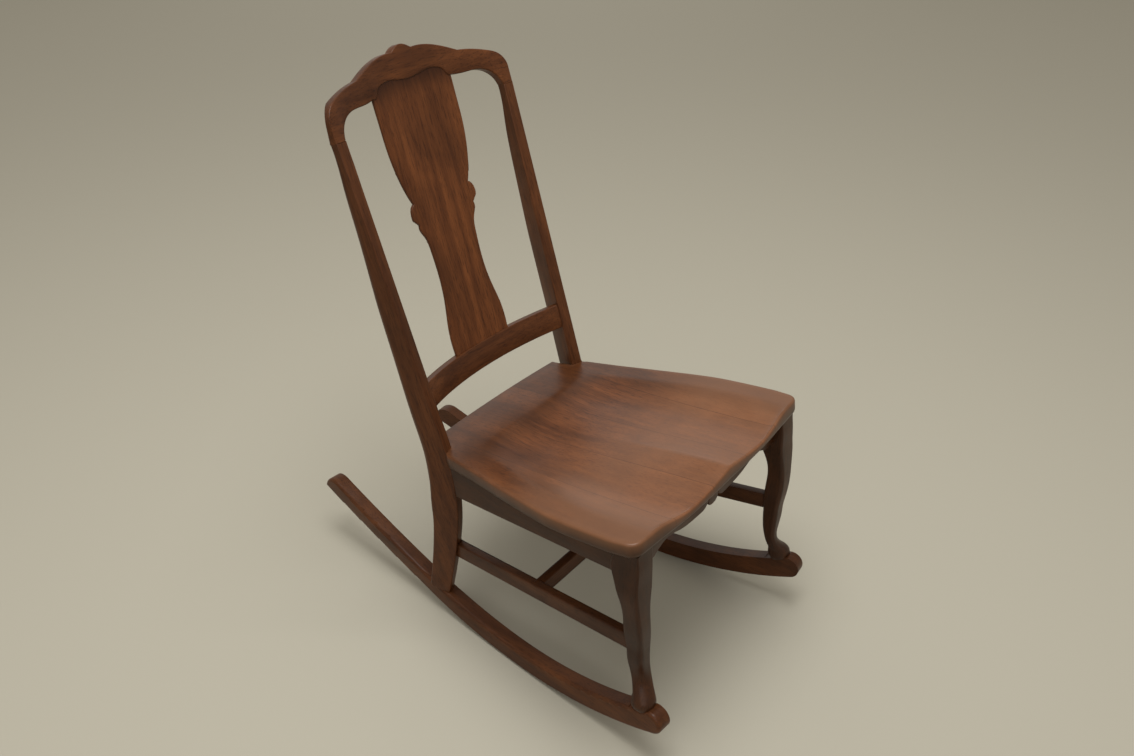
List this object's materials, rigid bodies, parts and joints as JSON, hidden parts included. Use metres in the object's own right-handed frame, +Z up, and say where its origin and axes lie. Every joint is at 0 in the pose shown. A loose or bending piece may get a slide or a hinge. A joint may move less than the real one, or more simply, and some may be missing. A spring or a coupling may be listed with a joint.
{
  "type": "wooden rocking chair",
  "caption": "Armless wooden sewing rocker with a shaped saddle seat, cabriole front legs, vase splat, scalloped bowed crest rail and toed-in rockers.",
  "frame": {"origin": "on the floor under the middle of the chair's outer box; the rockers rest on the floor 89.5 mm in front of it, at y = -0.0895 m", "axes": "+Z up, -Y is the way the sitter faces, +X is the sitter's left; the chair is symmetric about the YZ plane"},
  "size_m": [0.4602, 0.7819, 0.8949],
  "materials": {
    "stained_wood": "dark reddish-brown stained hardwood, worn semi-gloss varnish",
    "raw_wood": "plain hardwood dowel",
    "screw_steel": "plain steel wood screw"
  },
  "bodies": {
    "root": {"apron_dowels": "raw_wood", "back_rail_dowels": "raw_wood", "back_splat": "stained_wood", "corner_block_front_left": "stained_wood", "corner_block_front_right": "stained_wood", "corner_block_rear_left": "stained_wood", "corner_block_rear_right": "stained_wood", "crest_dowels": "raw_wood", "crest_rail": "stained_wood", "cross_stretcher": "stained_wood", "front_apron": "stained_wood", "front_leg_left": "stained_wood", "front_leg_right": "stained_wood", "lower_back_rail": "stained_wood", "rear_apron": "stained_wood", "rear_post_left": "stained_wood", "rear_post_right": "stained_wood", "rocker_left": "stained_wood", "rocker_plugs": "stained_wood", "rocker_right": "stained_wood", "rocker_screws": "screw_steel", "seat_board_inner_left": "stained_wood", "seat_board_inner_right": "stained_wood", "seat_board_middle": "stained_wood", "seat_board_outer_left": "stained_wood", "seat_board_outer_right": "stained_wood", "seat_screws": "screw_steel", "side_apron_left": "stained_wood", "side_apron_right": "stained_wood", "side_stretcher_left": "stained_wood", "side_stretcher_right": "stained_wood", "stretcher_dowels": "raw_wood"}
  },
  "joints": []
}
